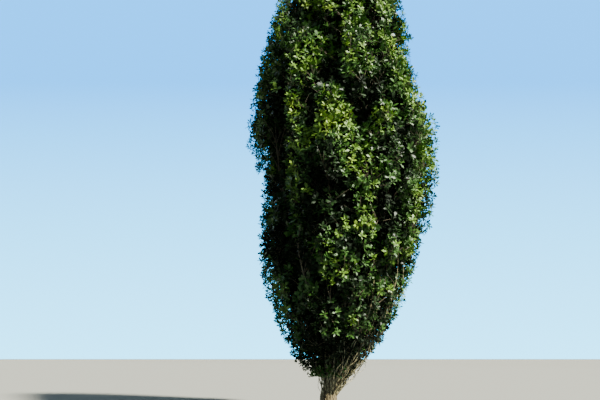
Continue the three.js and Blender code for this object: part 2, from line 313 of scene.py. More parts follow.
@dataclass(frozen=True)
class Tier:
    """A level of the crown. Its masses stand in a ring round the leader, each on a bough of its own."""

    name: str
    count: int
    turn: float
    middle: float
    rough: float
    depth: float
    shift: float
    seed: int
    leave: float = 0.0
    stagger: float = 0.0
    root: float = 0.0


OUTLINE = Outline()
TRUNK = TrunkShape()
TIERS = (
    Tier("skirt", 7, 0.48, 2.84, 0.25, 0.56, 0.47, 16, leave=0.42, stagger=0.12, root=0.058),
    Tier("waist", 7, 0.83, 6.13, 0.35, 0.72, 0.55, 40, leave=0.96, stagger=0.42, root=0.052),
    Tier("shoulder", 7, 0.4, 9.33, 0.35, 0.68, 0.31, 61, leave=2.9, stagger=0.9, root=0.042),
    Tier("crest", 5, 0.08, 11.66, 0.2, 0.5, 0.56, 66, leave=6.0, stagger=0.9, root=0.034),
)
SPIRE = Tier("spire", 1, 0.0, 13.45, 0.0, 0.0, 0.42, 43)
SPIRE_TOP = 14.1

HEIGHT_WEIGHT = 0.42  # heights count less than widths where two spaces meet
WALL_MARGIN = 0.014
REACHES = (0.97, 1.06)  # how far a mass reaches, as a share of the outline's half width
AZIMUTH_JITTER = 0.1
MARCH = 0.025  # the step by which a space's end is looked for
SLOPE_SPAN = 0.5  # the outline's slope is measured this far above and below a mass's centre
FOOT_INSET = 0.06  # how far the stem's foot stays inside the space
FOOT_INWARD = 0.2
STEM_RISE = 0.6  # the stem's share of the way from the centre to the space's top
STEM_BOW = 0.08
STRAIGHT = 0.14  # the length of the bough's straight end
BOUGH_TAPER = 0.6
BOUGH_OUT = 0.36
BOUGH_RISE = 0.3
LEAVE_JITTER = 0.15
BOUGH_STEPS = 18
STEM_STEPS = 10


@dataclass(frozen=True)
class Limits:
    """How strictly a mass keeps to its space.

    The core is the share of the crown's half width that is left free round the leader. The crease is how
    deep the outline is drawn in between two masses, as a share of its width. The overhang is how far a point
    may lie past the outline and the space's walls.
    """

    core: float
    crease: float
    overhang: float = 0.0


SOLID_LIMITS = Limits(core=0.24, crease=0.1)
TWIG_LIMITS = Limits(core=0.1, crease=0.03, overhang=0.05)
LEAF_LIMITS = Limits(core=0.1, crease=0.03, overhang=0.15)


class Mass:
    """The plan of one mass of foliage: its space, its stem and the line of its bough."""

    def __init__(self, tier: Tier, index: int) -> None:
        """Sets the mass's place in its tier.

        Args:
            tier: The tier that it belongs to.
            index: Its number there, from 0.
        """
        self.tier = tier
        self.index = index
        self.tops_leader = tier is SPIRE
        self.name = tier.name if self.tops_leader else f"{tier.name}_{index + 1}"
        self.dice = Dice(self.seed())
        self.normals = np.zeros((0, 3))
        self.offsets = np.zeros(0)
        self.stem = np.zeros((0, 3))
        self.bough = np.zeros((0, 3))
        if self.tops_leader:
            self.azimuth, self.reach, self.creases = 0.0, 1.0, 0
            self.centre = TRUNK.centre(TRUNK.leader_top) * (1, 1, 0) + UP * tier.middle
        else:
            self.place_in_ring()

    def seed(self) -> int:
        """Returns the mass's own seed."""
        return self.tier.seed * SEEDS_A_TIER + self.index

    def place_in_ring(self) -> None:
        """Rolls the azimuth, the reach and the centre of a mass that stands in a ring."""
        tier = self.tier
        sector = 2 * math.pi / tier.count
        jitter = self.dice.between(-AZIMUTH_JITTER, AZIMUTH_JITTER)
        self.azimuth = sector * (self.index + tier.turn + jitter)
        self.reach = self.dice.between(*REACHES)
        self.creases = tier.count
        z = tier.middle + self.dice.between(-1, 1) * tier.rough
        out = OUTLINE.half_width(z) * self.reach - tier.depth
        self.centre = OUTLINE.middle(tier.shift, z) + outward(self.azimuth) * out

    def raise_walls(self, others: list["Mass"]) -> None:
        """Sets the walls between this space and every other one.

        Args:
            others: The other masses.
        """
        weight = np.array([1.0, 1.0, HEIGHT_WEIGHT**2])
        self.normals = unit(np.array([(other.centre - self.centre) * weight for other in others]))
        middles = np.array([(other.centre + self.centre) / 2 for other in others])
        self.offsets = np.einsum("ij,ij->i", self.normals, middles)

    def room(self, points: Array, limits: Limits = SOLID_LIMITS) -> Array:
        """Measures how far inside the crown's outline points lie, as this mass reaches it.

        Args:
            points: The points.
            limits: How strictly the mass keeps to its space.

        Returns:
            The distance of each point from the outline, negative outside it.
        """
        across = points - OUTLINE.middle(self.tier.shift, points[:, 2])
        swing = np.arctan2(across[:, 1], across[:, 0]) - self.azimuth
        crease = 1.0 - limits.crease / 2 * (1.0 - np.cos(swing * self.creases))
        limit = OUTLINE.half_width(points[:, 2]) * self.reach * crease
        return limit - np.hypot(across[:, 0], across[:, 1])

    def owns(self, points: Array, limits: Limits = SOLID_LIMITS) -> Array:
        """Tests whether points lie in the space that this mass keeps to.

        Args:
            points: The points.
            limits: How strictly it keeps to it.

        Returns:
            True for each point that does.
        """
        z = points[:, 2]
        inside = (z >= OUTLINE.leaves_from) & (z <= OUTLINE.tree_height)
        inside &= self.room(points, limits) >= -limits.overhang
        if not self.tops_leader:
            from_trunk = np.linalg.norm(points - TRUNK.centre(z), axis=1)
            inside &= from_trunk >= OUTLINE.half_width(z) * limits.core
        behind = (points @ self.normals.T - self.offsets) < limits.overhang - WALL_MARGIN
        return inside & behind.all(axis=1)

    def reach_from(self, start: Array, heading: Array) -> float:
        """Measures how far the space goes from a point in it.

        Args:
            start: The point.
            heading: The direction, of length 1.

        Returns:
            The distance to the last step that is still in the space.
        """
        steps = int(OUTLINE.tree_height / MARCH)
        marks = start + heading * (MARCH * np.arange(1, steps)[:, None])
        return MARCH * int(np.argmin(self.owns(marks)))

    def plan_stem(self) -> None:
        """Sets the stem: it starts low on the trunk's side and rises past the space's centre."""
        if self.tops_leader:
            ends = [self.centre * (1, 1, 0) + UP * z for z in (TRUNK.leader_top, SPIRE_TOP)]
            self.stem = bezier([ends[0], sum(ends) / 2, ends[1]], STEM_STEPS)
            return
        out = outward(self.azimuth)
        z = self.centre[2]
        slope = OUTLINE.half_width(z + SLOPE_SPAN) - OUTLINE.half_width(z - SLOPE_SPAN)
        slope /= 2 * SLOPE_SPAN
        above = unit(out * slope + UP)
        below = unit(out * (-slope - FOOT_INWARD) - UP)
        foot = self.centre + below * (self.reach_from(self.centre, below) - FOOT_INSET)
        top = self.centre + above * self.reach_from(self.centre, above) * STEM_RISE
        self.stem = bezier([foot, self.centre + out * STEM_BOW, top], STEM_STEPS)

    def plan_bough(self) -> None:
        """Sets the line of the bough, from the trunk's middle to the foot of the stem."""
        tier = self.tier
        foot = self.stem[0]
        heading = unit(self.centre + outward(self.azimuth) * STEM_BOW - foot)
        level = self.index % 2 - 0.5 + self.dice.between(-LEAVE_JITTER, LEAVE_JITTER)
        leave = tier.leave + tier.stagger * level
        start = TRUNK.centre(leave)
        neck = foot - heading * STRAIGHT
        out = outward(self.azimuth) * np.linalg.norm(foot - TRUNK.centre(foot[2]))
        rise = neck[2] - leave
        first = start + out * BOUGH_OUT + UP * rise * BOUGH_RISE
        second = neck - heading * rise * BOUGH_RISE
        self.bough = np.vstack([bezier([start, first, second, neck], BOUGH_STEPS), foot])


class Limbs:
    """The trunk's and the boughs' lines, which leaves and twigs stay clear of."""

    def __init__(self, masses: list[Mass]) -> None:
        """Gathers the lines as straight pieces.

        Args:
            masses: The masses, whose boughs are planned.
        """
        lines = [(mass.bough, mass.tier.root) for mass in masses if not mass.tops_leader]
        leader = TRUNK.centre(np.linspace(TRUNK.fork_height, TRUNK.leader_top, 2 * BOUGH_STEPS))
        lines.append((leader, TRUNK.leader_radius))
        self.starts = np.vstack([line[:-1] for line, _ in lines])
        self.runs = np.vstack([np.diff(line, axis=0) for line, _ in lines])
        self.radii = np.concatenate([np.full(len(line) - 1, radius) for line, radius in lines])

    def clear(self, points: Array, margin: float) -> Array:
        """Tests whether points lie clear of every limb.

        Args:
            points: The points.
            margin: How far they stay from a limb's surface.

        Returns:
            True for each point that does.
        """
        free = np.ones(len(points), bool)
        lengths = np.einsum("ij,ij->i", self.runs, self.runs)
        for start, run, length, radius in zip(self.starts, self.runs, lengths, self.radii):
            across = points - start
            share = np.clip(across @ run / length, 0.0, 1.0)
            gap = across - share[:, None] * run
            free &= np.einsum("ij,ij->i", gap, gap) > (radius + margin) ** 2
        return free


class Crown:
    """All the masses, planned together because each one's space depends on the others."""

    def __init__(self) -> None:
        """Plans the masses, their stems and their boughs."""
        self.masses = [Mass(tier, index) for tier in TIERS for index in range(tier.count)]
        self.masses.append(Mass(SPIRE, 0))
        for mass in self.masses:
            mass.raise_walls([other for other in self.masses if other is not mass])
        for mass in self.masses:
            mass.plan_stem()
        for mass in self.masses:
            if not mass.tops_leader:
                mass.plan_bough()
        self.limbs = Limbs(self.masses)


class Socket:
    """A node's output that takes part in arithmetic, each step of which adds a Math node."""

    def __init__(self, sheet: "NodeSheet", source: bpy.types.NodeSocket) -> None:
        """Keeps the output and the sheet that it is on.

        Args:
            sheet: The material's nodes.
            source: The output.
        """
        self.sheet = sheet
        self.source = source

    def __add__(self, other: "Socket | float") -> "Socket":
        """Returns the sum."""
        return self.sheet.maths("ADD", self, other)

    def __sub__(self, other: "Socket | float") -> "Socket":
        """Returns the difference."""
        return self.sheet.maths("SUBTRACT", self, other)

    def __mul__(self, other: "Socket | float") -> "Socket":
        """Returns the product."""
        return self.sheet.maths("MULTIPLY", self, other)

    def __radd__(self, other: float) -> "Socket":
        """Returns the sum with a number in front."""
        return self.sheet.maths("ADD", other, self)

    def __rsub__(self, other: float) -> "Socket":
        """Returns a number less this value."""
        return self.sheet.maths("SUBTRACT", other, self)

    def __rmul__(self, other: float) -> "Socket":
        """Returns the product with a number in front."""
        return self.sheet.maths("MULTIPLY", other, self)


class NodeSheet:
    """The nodes of one material."""

    FIRST_COLOUR = 6  # the numbers of a Mix node's inputs and output for colours
    SECOND_COLOUR = 7
    MIXED_COLOUR = 2

    def __init__(self, name: str) -> None:
        """Starts a material with its surface shader.

        Args:
            name: The material's name.
        """
        self.material = bpy.data.materials.new(name)
        self.material.use_nodes = True
        self.nodes = self.material.node_tree.nodes
        self.links = self.material.node_tree.links
        self.shader = next(node for node in self.nodes if node.type == "BSDF_PRINCIPLED")

    def node(self, kind: str, settings: dict, inputs: dict) -> bpy.types.Node:
        """Adds a node.

        Args:
            kind: The node's type.
            settings: Its own settings, which are made first.
            inputs: A value or a Socket for each named or numbered input.

        Returns:
            The node.
        """
        node = self.nodes.new(kind)
        for name, value in settings.items():
            setattr(node, name, value)
        for name, value in inputs.items():
            self.feed(node.inputs[name], value)
        return node

    def feed(self, target: bpy.types.NodeSocket, value: object) -> None:
        """Links a Socket to an input, or sets a plain value there.

        Args:
            target: The input.
            value: The Socket or the value.
        """
        if isinstance(value, Socket):
            self.links.new(value.source, target)
        else:
            target.default_value = value

    def maths(self, operation: str, first: object, second: object) -> Socket:
        """Returns the result of a Math node."""
        node = self.node("ShaderNodeMath", {"operation": operation}, {0: first, 1: second})
        return Socket(self, node.outputs[0])

    def mix(self, factor: object, first: object, second: object) -> Socket:
        """Mixes two colours.

        Args:
            factor: The share of the second one, which is kept between 0 and 1.
            first: The first colour.
            second: The second colour.

        Returns:
            The mixed colour.
        """
        settings = {"data_type": "RGBA", "clamp_factor": True}
        inputs = {"Factor": factor, self.FIRST_COLOUR: first, self.SECOND_COLOUR: second}
        return Socket(self, self.node("ShaderNodeMix", settings, inputs).outputs[self.MIXED_COLOUR])

    def place(self) -> Socket:
        """Returns the object coordinates."""
        return Socket(self, self.node("ShaderNodeTexCoord", {}, {}).outputs["Object"])

    def object_height(self) -> Socket:
        """Returns the height in object coordinates."""
        return Socket(self, self.node("ShaderNodeSeparateXYZ", {}, {"Vector": self.place()}).outputs["Z"])

    def rise(self, low: float, span: float) -> Socket:
        """Returns how far up a span each point is, from 0 at the span's low end to 1 at its top."""
        return (self.object_height() - low) * (1.0 / span)

    def grain(self, stretch: tuple[float, float, float], scale: float, detail: float) -> Socket:
        """Adds a noise in object coordinates.

        Args:
            stretch: How many times finer it runs along each axis.
            scale: Its scale, in cells a metre.
            detail: The number of finer layers.

        Returns:
            The noise, from 0 to 1.
        """
        mapped = self.node("ShaderNodeMapping", {}, {"Vector": self.place(), "Scale": stretch})
        inputs = {"Vector": Socket(self, mapped.outputs[0]), "Scale": scale, "Detail": detail}
        return Socket(self, self.node("ShaderNodeTexNoise", {}, inputs).outputs[0])

    def attribute(self, name: str) -> Socket:
        """Returns a value that is kept on the mesh's corners."""
        node = self.node("ShaderNodeAttribute", {"attribute_name": name}, {})
        return Socket(self, node.outputs["Fac"])

    def bump(self, height: Socket, distance: float, strength: float) -> None:
        """Raises the surface's shading by a height.

        Args:
            height: The height, from 0 to 1.
            distance: How far a height of 1 stands up.
            strength: How strongly it shows.
        """
        inputs = {"Height": height, "Distance": distance, "Strength": strength}
        node = self.node("ShaderNodeBump", {}, inputs)
        self.feed(self.shader.inputs["Normal"], Socket(self, node.outputs[0]))

    def surface(self, **values: object) -> bpy.types.Material:
        """Sets the shader's inputs.

        Args:
            **values: A value or a Socket for each input, with underscores for the spaces in its name.

        Returns:
            The finished material.
        """
        for name, value in values.items():
            self.feed(self.shader.inputs[name.replace("_", " ")], value)
        return self.material


@dataclass(frozen=True)
class BarkFinish:
    """Grey-brown bark: paler ridges, furrows dark by their own colour and by painted shade, and painted
    shade higher up.
    """

    name: str
    ridge: tuple = (0.23, 0.185, 0.083, 1.0)
    # The near-black furrow colour is partly the bark's own darker fissures and partly painted shade in the
    # furrows.
    furrow: tuple = (0.014, 0.010, 0.005, 1.0)
    lichen: tuple = (0.26, 0.235, 0.115, 1.0)
    # Painted shade: with height the bark darkens towards this inner colour, as the crown's shade would
    # darken it.
    inner: tuple = (0.045, 0.038, 0.02, 1.0)
    painted_shade_from: float = 0.7
    painted_shade_rise: float = 0.8
    inner_share: float = 0.8
    streak_stretch: tuple = (1.0, 1.0, 0.14)
    streak_scale: float = 70.0
    streak_detail: float = 6.0
    streak_contrast: float = 4.5
    patch_stretch: tuple = (1.0, 1.0, 0.6)
    patch_scale: float = 9.0
    patch_detail: float = 3.0
    patch_from: float = 0.55
    patch_contrast: float = 3.0
    ridge_share: float = 0.7
    bump_height: float = 0.02
    bump_strength: float = 0.8
    roughness: float = 0.95
    ridge_polish: float = 0.15

    def make(self) -> bpy.types.Material:
        """Makes the bark's material.

        Returns:
            The material.
        """
        sheet = NodeSheet(self.name)
        streak = sheet.grain(self.streak_stretch, self.streak_scale, self.streak_detail)
        patch = sheet.grain(self.patch_stretch, self.patch_scale, self.patch_detail)
        height = sheet.attribute("ridge")
        # Darker towards the furrows by the relief's height: partly the bark's own colour, partly painted
        # shade.
        shade = height * (self.ridge_share + (streak - NOISE_MIDDLE) * self.streak_contrast)
        bark = sheet.mix(shade, self.furrow, self.ridge)
        aged = sheet.mix((patch - self.patch_from) * self.patch_contrast, bark, self.lichen)
        # Painted shade: darker with height towards the inner colour.
        rise = sheet.rise(self.painted_shade_from, self.painted_shade_rise)
        inside = sheet.mix(sheet.maths("MINIMUM", rise, self.inner_share), aged, self.inner)
        sheet.bump(streak, self.bump_height, self.bump_strength)
        return sheet.surface(Base_Color=inside, Roughness=self.roughness - height * self.ridge_polish)


@dataclass(frozen=True)
class TwigFinish:
    """Smooth young bark, brown to grey-green, darkening with height into painted shade."""

    name: str
    light: tuple = (0.32, 0.28, 0.16, 1.0)
    dark: tuple = (0.035, 0.028, 0.014, 1.0)
    # Painted shade: with height the twigs darken towards this high colour, as the crown's shade would darken
    # them.
    high: tuple = (0.07, 0.06, 0.03, 1.0)
    painted_twig_shade_from: float = 3.0
    painted_twig_shade_rise: float = 3.0
    patch_stretch: tuple = (1.0, 1.0, 0.4)
    patch_scale: float = 7.0
    patch_detail: float = 2.0
    contrast: float = 1.6
    roughness: float = 0.8

    def make(self) -> bpy.types.Material:
        """Makes the twigs' material.

        Returns:
            The material.
        """
        sheet = NodeSheet(self.name)
        patch = sheet.grain(self.patch_stretch, self.patch_scale, self.patch_detail)
        share = (patch - NOISE_MIDDLE) * self.contrast + NOISE_MIDDLE
        bark = sheet.mix(share, self.dark, self.light)
        # Painted shade: darker with height towards the high colour.
        colour = sheet.mix(sheet.rise(self.painted_twig_shade_from, self.painted_twig_shade_rise), bark, self.high)
        return sheet.surface(Base_Color=colour, Roughness=self.roughness)


# The shoots' pale colour is painted sunlight and their near-black one painted shade, dealt out in random
# patches.
SHOOT_FINISH = TwigFinish(
    "shoot_bark_painted_sun_and_shade",
    light=(0.74, 0.66, 0.34, 1.0),
    dark=(0.03, 0.024, 0.012, 1.0),
    patch_scale=19.0,
    contrast=4.5,
)


@dataclass(frozen=True)
class LeafFinish:
    """One plain green with a waxy sheen."""

    name: str
    colour: tuple
    roughness: float = 0.5
    shine: float = 0.42

    def make(self) -> bpy.types.Material:
        """Makes the leaves' material.

        Returns:
            The material.
        """
        colour = (*self.colour, 1.0)
        sheet = NodeSheet(self.name)
        return sheet.surface(Base_Color=colour, Roughness=self.roughness, Specular_IOR_Level=self.shine)


# The deep and shade greens are darker than leaves are, as painted shade; the fresh and young greens are
# their own paler colour and partly painted sunlight.
LEAF_FINISHES = {
    Tone.PAINTED_DEEP_SHADE: LeafFinish("painted_deep_shade_green", (0.003, 0.010, 0.002), roughness=0.7, shine=0.15),
    Tone.SHADE: LeafFinish("painted_shade_leaf", (0.009, 0.033, 0.004), shine=0.3),
    Tone.LEAF: LeafFinish("summer_leaf", (0.036, 0.108, 0.011)),
    Tone.FRESH_AND_PAINTED_SUN: LeafFinish("fresh_and_painted_sun_leaf", (0.11, 0.225, 0.02)),
    Tone.YOUNG: LeafFinish("young_leaf", (0.22, 0.36, 0.032)),
}


@dataclass(frozen=True)
class PlainFinish:
    """The matte surface of the floor."""

    name: str
    colour: tuple
    roughness: float = 0.9

    def make(self) -> bpy.types.Material:
        """Returns the plain material."""
        return NodeSheet(self.name).surface(Base_Color=(*self.colour, 1.0), Roughness=self.roughness)


@dataclass(frozen=True)
class SkyFinish:
    """A glowing backdrop, palest at its foot."""

    name: str
    height: float
    low: tuple = (0.10, 0.62, 1.0, 1.0)
    high: tuple = (0.0, 0.22, 0.62, 1.0)
    glow: float = 5.5
    fade: float = 1.6
    unlit: tuple = (0.0, 0.0, 0.0, 1.0)

    def make(self) -> bpy.types.Material:
        """Makes the backdrop's material.

        Returns:
            The material.
        """
        sheet = NodeSheet(self.name)
        colour = sheet.mix(sheet.object_height() * (self.fade / self.height), self.low, self.high)
        return sheet.surface(
            Base_Color=self.unlit, Roughness=1.0, Emission_Color=colour, Emission_Strength=self.glow
        )


def deselect_all() -> None:
    """Leaves nothing selected."""
    bpy.ops.object.select_all(action="DESELECT")


def settle(piece: bpy.types.Object, slot: Slot, *replaced: str) -> None:
    """Fixes a piece to the tree.

    Args:
        piece: The finished piece.
        slot: Not used.
        replaced: The solids that it stands for.
    """
    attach(piece, BODY)
    if replaced:
        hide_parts(*replaced)
    LOG.info("%s: %d faces", piece.name, len(piece.data.polygons))


@dataclass
class BarkRelief:
    """Furrows and ridges that run up a limb and meet each other, cut into its mesh."""

    seed: int
    ridge_width: float = 0.027
    ridge_length: float = 0.2
    least_ridges: int = 6
    furrow_width: float = 0.12
    depth: float = 0.024
    level: float = 0.7
    cells: int = 64
    wander_cells: int = 8
    wander_length: float = 1.7
    wander_width: float = 1.5
    fine_scale: tuple = (2.0, 1.7)
    fine_shift: float = 17.0
    fine_share: float = 0.25
    seam_digits: int = 6
    noise: Noise = field(init=False)
    wander: Noise = field(init=False)

    def __post_init__(self) -> None:
        """Makes the two noises that the furrows follow."""
        self.noise = Noise(self.seed, self.cells, axes=2)
        self.wander = Noise(self.seed + 1, self.cells, axes=2)

    def height(self, angle: Array, z: Array, girth: float) -> Array:
        """Works out how high the bark stands.

        Args:
            angle: The angle round the limb, in radians.
            z: The height along the limb.
            girth: The limb's circumference, which sets how many ridges stand round it.

        Returns:
            The height, from 0 in a furrow to 1 on a ridge.
        """
        around = min(max(self.least_ridges, round(girth / self.ridge_width)), self.cells)
        # Rounded, a corner on the seam always counts as its start, and every run gives the same bark.
        turn = np.round(angle / (2 * math.pi), self.seam_digits) % 1.0
        slow = [turn * self.wander_cells % self.wander_cells, z / (self.ridge_length * self.wander_length)]
        bend = self.wander.at(np.column_stack(slow)) - NOISE_MIDDLE
        across = (turn * around + bend * self.wander_width) % around
        places = np.column_stack([across, z / self.ridge_length])
        coarse = self.noise.at(places)
        fine = self.noise.at(places * self.fine_scale + self.fine_shift)
        mixed = (1.0 - self.fine_share) * coarse + self.fine_share * fine
        return smoothstep(np.abs(mixed - NOISE_MIDDLE), 0.0, self.furrow_width)


@dataclass
class LimbModeller:
    """Models a limb upright, from a ring that is extruded and narrowed, and then bends it along its line."""

    sides: int
    smoothing: int
    relief: BarkRelief
    bark: bpy.types.Material
    girth_percentile: int = 80
    crease_angle: float = math.radians(50)

    def gain(self) -> float:
        """Returns how much wider the ring is made, because smoothing draws it in."""
        return 3.0 / (2.0 + math.cos(2 * math.pi / self.sides))

    def raise_tube(self, name: str, stations: list[tuple[float, float]]) -> bpy.types.Object:
        """Extrudes a ring upwards.

        Args:
            name: The piece's name.
            stations: The height and the radius of each ring, from the lowest.

        Returns:
            The open tube.
        """
        deselect_all()
        radius = stations[0][1] * self.gain()
        bpy.ops.mesh.primitive_circle_add(vertices=self.sides, radius=radius, fill_type="NOTHING")
        tube = bpy.context.object
        tube.name = tube.data.name = name
        bpy.ops.object.mode_set(mode="EDIT")
        bpy.ops.mesh.select_all(action="SELECT")
        for (low, before), (high, after) in zip(stations, stations[1:]):
            bpy.ops.mesh.extrude_region_move(TRANSFORM_OT_translate={"value": (0.0, 0.0, high - low)})
            share = after / before
            bpy.ops.transform.resize(value=(share, share, 1.0), center_override=(0.0, 0.0, high))
        bpy.ops.object.mode_set(mode="OBJECT")
        self.apply(tube, "smooth", "SUBSURF", levels=self.smoothing, render_levels=self.smoothing)
        return tube

    @staticmethod
    def apply(limb: bpy.types.Object, name: str, kind: str, **settings: object) -> None:
        """Adds a modifier to a limb and applies it.

        Args:
            limb: The limb, which is the active object.
            name: The modifier's name.
            kind: Its type.
            **settings: Its own settings.
        """
        modifier = limb.modifiers.new(name, kind)
        for setting, value in settings.items():
            setattr(modifier, setting, value)
        bpy.ops.object.modifier_apply(modifier=name)

    def furrow(self, tube: bpy.types.Object, swell: Swelling, depth: float) -> None:
        """Cuts the bark's relief into an upright tube and keeps its height on the mesh.

        Args:
            tube: The tube.
            swell: The share by which the radius changes at each angle and height.
            depth: The depth of the furrows.
        """
        count = len(tube.data.vertices)
        flat = np.empty(count * 3)
        tube.data.vertices.foreach_get("co", flat)
        corners = flat.reshape(-1, 3)
        angle = np.arctan2(corners[:, 1], corners[:, 0])
        radius = np.hypot(corners[:, 0], corners[:, 1])
        girth = 2 * math.pi * float(np.percentile(radius, self.girth_percentile))
        height = self.relief.height(angle, corners[:, 2], girth)
        wider = radius * swell(angle, corners[:, 2]) + depth * (height - self.relief.level)
        corners[:, 0] = np.cos(angle) * wider
        corners[:, 1] = np.sin(angle) * wider
        tube.data.vertices.foreach_set("co", corners.ravel())
        kept = tube.data.attributes.new("ridge", "FLOAT", "POINT")
        kept.data.foreach_set("value", height.astype(np.float32))

    def bend(self, limb: bpy.types.Object, line: Array) -> None:
        """Bends an upright limb along a line, closes its ends and dresses it.

        Args:
            limb: The upright limb.
            line: The points of the line, from the limb's foot.
        """
        curve = bpy.data.curves.new(f"{limb.name}_line", "CURVE")
        curve.dimensions = "3D"
        spline = curve.splines.new("POLY")
        spline.points.add(len(line) - 1)
        for point, place in zip(spline.points, line):
            point.co = (*place, 1.0)
        guide = bpy.data.objects.new(curve.name, curve)
        bpy.context.collection.objects.link(guide)
        self.apply(limb, "bend", "CURVE", object=guide, deform_axis="POS_Z")
        bpy.data.objects.remove(guide)
        bpy.ops.object.mode_set(mode="EDIT")
        bpy.ops.mesh.select_all(action="DESELECT")
        bpy.ops.mesh.select_mode(type="EDGE")
        bpy.ops.mesh.select_non_manifold()
        bpy.ops.mesh.edge_face_add()
        bpy.ops.mesh.select_all(action="SELECT")
        bpy.ops.mesh.normals_make_consistent(inside=False)
        bpy.ops.object.mode_set(mode="OBJECT")
        bpy.ops.object.shade_smooth_by_angle(angle=self.crease_angle)
        limb.data.materials.append(self.bark)


def line_length(line: Array) -> float:
    """Returns the length of a line of points."""
    return float(np.linalg.norm(np.diff(line, axis=0), axis=1).sum())


@dataclass
class Trunk:
    """The trunk with its flared foot, and the leader that it runs on as."""

    bark: bpy.types.Material
    sides: int = 24
    smoothing: int = 3
    low_step: float = 0.12
    low_top: float = 1.0
    high_steps: int = 8
    high_spread: float = 1.5
    line_points: int = 80
    relief_seed: int = 5
    flutes: int = 4
    flute_depth: float = 0.045
    flute_turn: float = 0.6
    flute_end: tuple = (0.9, 1.6)

    def stations(self) -> list[tuple[float, float]]:
        """Sets out the rings, close together up to above the fork.

        Returns:
            The height and the radius of each ring.
        """
        low = np.arange(0.0, self.low_top, self.low_step)
        share = np.linspace(0, 1, self.high_steps) ** self.high_spread
        heights = np.concatenate([low, self.low_top + (TRUNK.leader_top - self.low_top) * share])
        return [(float(z), float(TRUNK.radius(z))) for z in heights]

    def swell(self, angle: Array, z: Array) -> Array:
        """Works out the lobes of the root flare, and the flutes that run up into the fork.

        Args:
            angle: The angle round the trunk, in radians.
            z: The height.

        Returns:
            The share by which the radius changes.
        """
        lobes = TRUNK.lobe_depth * np.exp(-z / TRUNK.flare_height) * np.cos(TRUNK.flare_lobes * angle)
        rise = smoothstep(z, 0.0, TRUNK.fork_height) * (1.0 - smoothstep(z, *self.flute_end))
        return 1.0 + lobes + self.flute_depth * rise * np.cos(self.flutes * angle + self.flute_turn)

    def build(self) -> None:
        """Models the trunk."""
        modeller = LimbModeller(self.sides, self.smoothing, BarkRelief(self.relief_seed), self.bark)
        trunk = modeller.raise_tube("trunk_bark", self.stations())
        modeller.furrow(trunk, self.swell, modeller.relief.depth)
        modeller.bend(trunk, TRUNK.centre(np.linspace(0.0, TRUNK.leader_top, self.line_points)))
        settle(trunk, Slot.BARK, "trunk")


@dataclass
class Bough:
    """One bough: a tapering limb with a collar where it leaves the trunk."""

    mass: Mass
    bark: bpy.types.Material
    sides: int = 6
    smoothing: int = 2
    step: float = 0.4
    least_rings: int = 4
    collar: float = 0.45
    collar_length: float = 0.22
    collar_from: float = 0.3
    relief_share: float = 0.35
    relief_seeds: int = 10

    def build(self) -> None:
        """Models the bough."""
        line = self.mass.bough
        length = line_length(line)
        heights = np.linspace(0.0, length, max(self.least_rings, round(length / self.step)))
        root = self.mass.tier.root
        radii = root * (1.0 - (1.0 - BOUGH_TAPER) * heights / length)
        radii *= 1.0 + self.collar * np.exp(-np.maximum(heights - self.collar_from, 0) / self.collar_length)
        relief = BarkRelief(self.mass.tier.seed * self.relief_seeds + self.mass.index)
        modeller = LimbModeller(self.sides, self.smoothing, relief, self.bark)
        stations = list(zip(heights.tolist(), radii.tolist()))
        bough = modeller.raise_tube(f"{self.mass.name}_bough_bark", stations)
        modeller.furrow(bough, lambda angle, z: np.ones_like(z), relief.depth * self.relief_share)
        modeller.bend(bough, line)
        settle(bough, Slot.BARK, f"{self.mass.name}_bough")


def tube_corners(lines: Array, radii: Array, sides: int) -> Array:
    """Sets out the corners of tubes along lines.

    Args:
        lines: The points of each line, all lines having as many.
        radii: The radius at each point.
        sides: The number of sides of a tube.

    Returns:
        The corners of each tube, ring by ring.
    """
    headings = unit(np.gradient(lines, axis=1))
    along_x = np.abs(headings[:, :1, 0:1]) > NEARLY_ALONG
    aside = np.where(along_x, np.array([0.0, 1.0, 0.0]), np.array([1.0, 0.0, 0.0]))
    across = unit(np.cross(headings, aside))
    other = np.cross(headings, across)
    angles = 2 * math.pi * np.arange(sides) / sides
    ring = np.cos(angles)[:, None] * across[:, :, None] + np.sin(angles)[:, None] * other[:, :, None]
    corners = lines[:, :, None] + ring * radii[:, :, None, None]
    return corners.reshape(len(lines), -1, 3)


def tube_faces(rings: int, sides: int) -> list[tuple[int, ...]]:
    """Lists the faces of a closed tube.

    Args:
        rings: The number of its rings.
        sides: The number of its sides.

    Returns:
        The faces, as numbers of its corners.
    """
    faces: list[tuple[int, ...]] = [tuple(reversed(range(sides)))]
    for ring in range(rings - 1):
        low, high = ring * sides, (ring + 1) * sides
        for side in range(sides):
            after = (side + 1) % sides
            faces.append((low + side, low + after, high + after, high + side))
    faces.append(tuple((rings - 1) * sides + side for side in range(sides)))
    return faces


